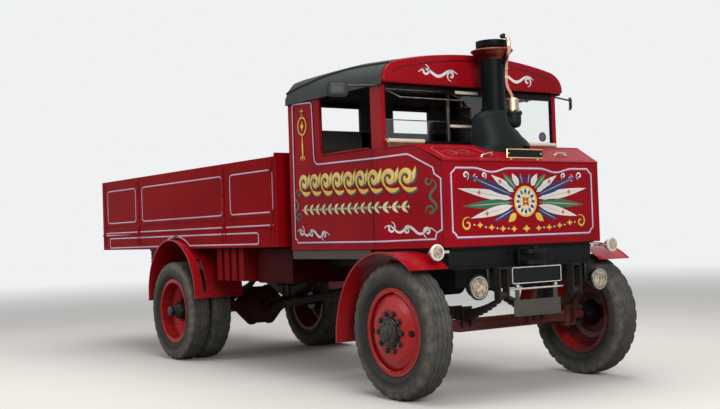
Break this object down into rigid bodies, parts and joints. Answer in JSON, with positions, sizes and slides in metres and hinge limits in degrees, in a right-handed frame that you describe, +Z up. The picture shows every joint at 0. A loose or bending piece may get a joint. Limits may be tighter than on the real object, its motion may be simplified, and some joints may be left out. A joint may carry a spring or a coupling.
{
  "type": "steam lorry",
  "caption": "Steam lorry with a boiler ahead of the cab, funnel through the hood, dropside load body, steered front wheels and twin rear wheels.",
  "frame": {"origin": "on the ground under the middle of the lorry's overall box", "axes": "+X forward, +Y to the lorry's left, +Z up"},
  "size_m": [6.394, 2.654, 2.806],
  "materials": {
    "body_paint": "gloss coach enamel",
    "red_running_gear": "gloss enamel, dusty",
    "black_paint": "satin chassis black",
    "tyre_rubber": "dusty moulded rubber",
    "cast_black": "oiled black",
    "steel": "dull steel",
    "copper": "polished copper",
    "brass": "polished brass",
    "nickel": "nickel plate",
    "black_canvas": "waterproofed canvas",
    "planks": "worn boards",
    "window_glass": "clear plate glass",
    "leathercloth": "buttoned leathercloth",
    "mirror_glass": "silvered glass in a steel back",
    "grey_paint": "grey enamel"
  },
  "bodies": {
    "root": {"bed": "body_paint", "bench": "planks", "blow_off_pipe": "copper", "boiler": "cast_black", "cab_back": "body_paint", "cab_floor": "planks", "cab_side_left": "body_paint", "cab_side_right": "body_paint", "chassis_frame": "black_paint", "chimney": "cast_black", "chimney_cap": "copper", "engine": "cast_black", "front_axle": "red_running_gear", "front_beam": "black_paint", "front_mudguards": "body_paint", "front_panel": "body_paint", "front_plates": "grey_paint", "front_springs": "steel", "headboard": "body_paint", "headlamps": "nickel", "hood": "body_paint", "housing_sides": "body_paint", "mirrors": "mirror_glass", "propeller_shaft": "steel", "rear_axle": "red_running_gear", "rear_mudguards": "body_paint", "rear_springs": "steel", "ribbed_locker": "body_paint", "roof": "black_canvas", "roof_peak": "body_paint", "safety_valve": "brass", "seat_cushions": "leathercloth", "side_lamps": "nickel", "smokebox_saddle": "black_paint", "steering_column": "black_paint", "water_tank": "body_paint", "windscreen_frame": "body_paint", "windscreen_glass": "window_glass"},
    "knuckle_right": {"knuckle_right": "red_running_gear"},
    "knuckle_left": {"knuckle_left": "red_running_gear"},
    "track_rod": {"track_rod": "steel"},
    "front_wheel_right": {"front_wheel_right": "red_running_gear", "front_tyre_right": "tyre_rubber"},
    "front_wheel_left": {"front_wheel_left": "red_running_gear", "front_tyre_left": "tyre_rubber"},
    "rear_wheels_right": {"rear_wheels_right": "red_running_gear", "rear_tyres_right": "tyre_rubber"},
    "rear_wheels_left": {"rear_wheels_left": "red_running_gear", "rear_tyres_left": "tyre_rubber"},
    "dropside_right": {"dropside_right": "body_paint"},
    "dropside_left": {"dropside_left": "body_paint"},
    "tailboard": {"tailboard": "body_paint"},
    "cab_door_left": {"cab_door_left": "body_paint"}
  },
  "joints": [
    {"name": "steer_right", "type": "hinge", "parent": "root", "child": "knuckle_right", "pos_m": [2.689, -0.76, 0.508], "axis": [0, 0, 1], "range_deg": [-26, 26]},
    {"name": "steer_left", "type": "hinge", "parent": "root", "child": "knuckle_left", "pos_m": [2.689, 0.76, 0.508], "axis": [0, 0, 1], "range_deg": [-26, 26]},
    {"name": "track_rod_swing", "type": "hinge", "parent": "knuckle_right", "child": "track_rod", "pos_m": [2.459, -0.76, 0.465], "axis": [0, 0, 1], "range_deg": [-26, 26]},
    {"name": "front_wheel_right_spin", "type": "hinge", "parent": "knuckle_right", "child": "front_wheel_right", "pos_m": [2.689, -0.975, 0.508], "axis": [0, 1, 0], "continuous": true},
    {"name": "front_wheel_left_spin", "type": "hinge", "parent": "knuckle_left", "child": "front_wheel_left", "pos_m": [2.689, 0.975, 0.508], "axis": [0, 1, 0], "continuous": true},
    {"name": "rear_wheels_right_spin", "type": "hinge", "parent": "root", "child": "rear_wheels_right", "pos_m": [-1.198, -0.8225, 0.508], "axis": [0, 1, 0], "continuous": true},
    {"name": "rear_wheels_left_spin", "type": "hinge", "parent": "root", "child": "rear_wheels_left", "pos_m": [-1.198, 0.8225, 0.508], "axis": [0, 1, 0], "continuous": true},
    {"name": "dropside_right_fold", "type": "hinge", "parent": "root", "child": "dropside_right", "pos_m": [-1.1, -1.007, 1.327], "axis": [1, 0, 0], "range_deg": [0, 135]},
    {"name": "dropside_left_fold", "type": "hinge", "parent": "root", "child": "dropside_left", "pos_m": [-1.1, 1.007, 1.327], "axis": [-1, 0, 0], "range_deg": [0, 135]},
    {"name": "tailboard_fold", "type": "hinge", "parent": "root", "child": "tailboard", "pos_m": [-3.188, 0, 1.327], "axis": [0, -1, 0], "range_deg": [0, 170]},
    {"name": "cab_door_left_swing", "type": "hinge", "parent": "root", "child": "cab_door_left", "pos_m": [2.337, 0.954, 1.5], "axis": [0, 0, -1], "range_deg": [0, 80]}
  ],
  "couplings": [
    {"joint": "steer_left", "follows": "steer_right", "ratio": 1},
    {"joint": "track_rod_swing", "follows": "steer_right", "ratio": -1}
  ]
}
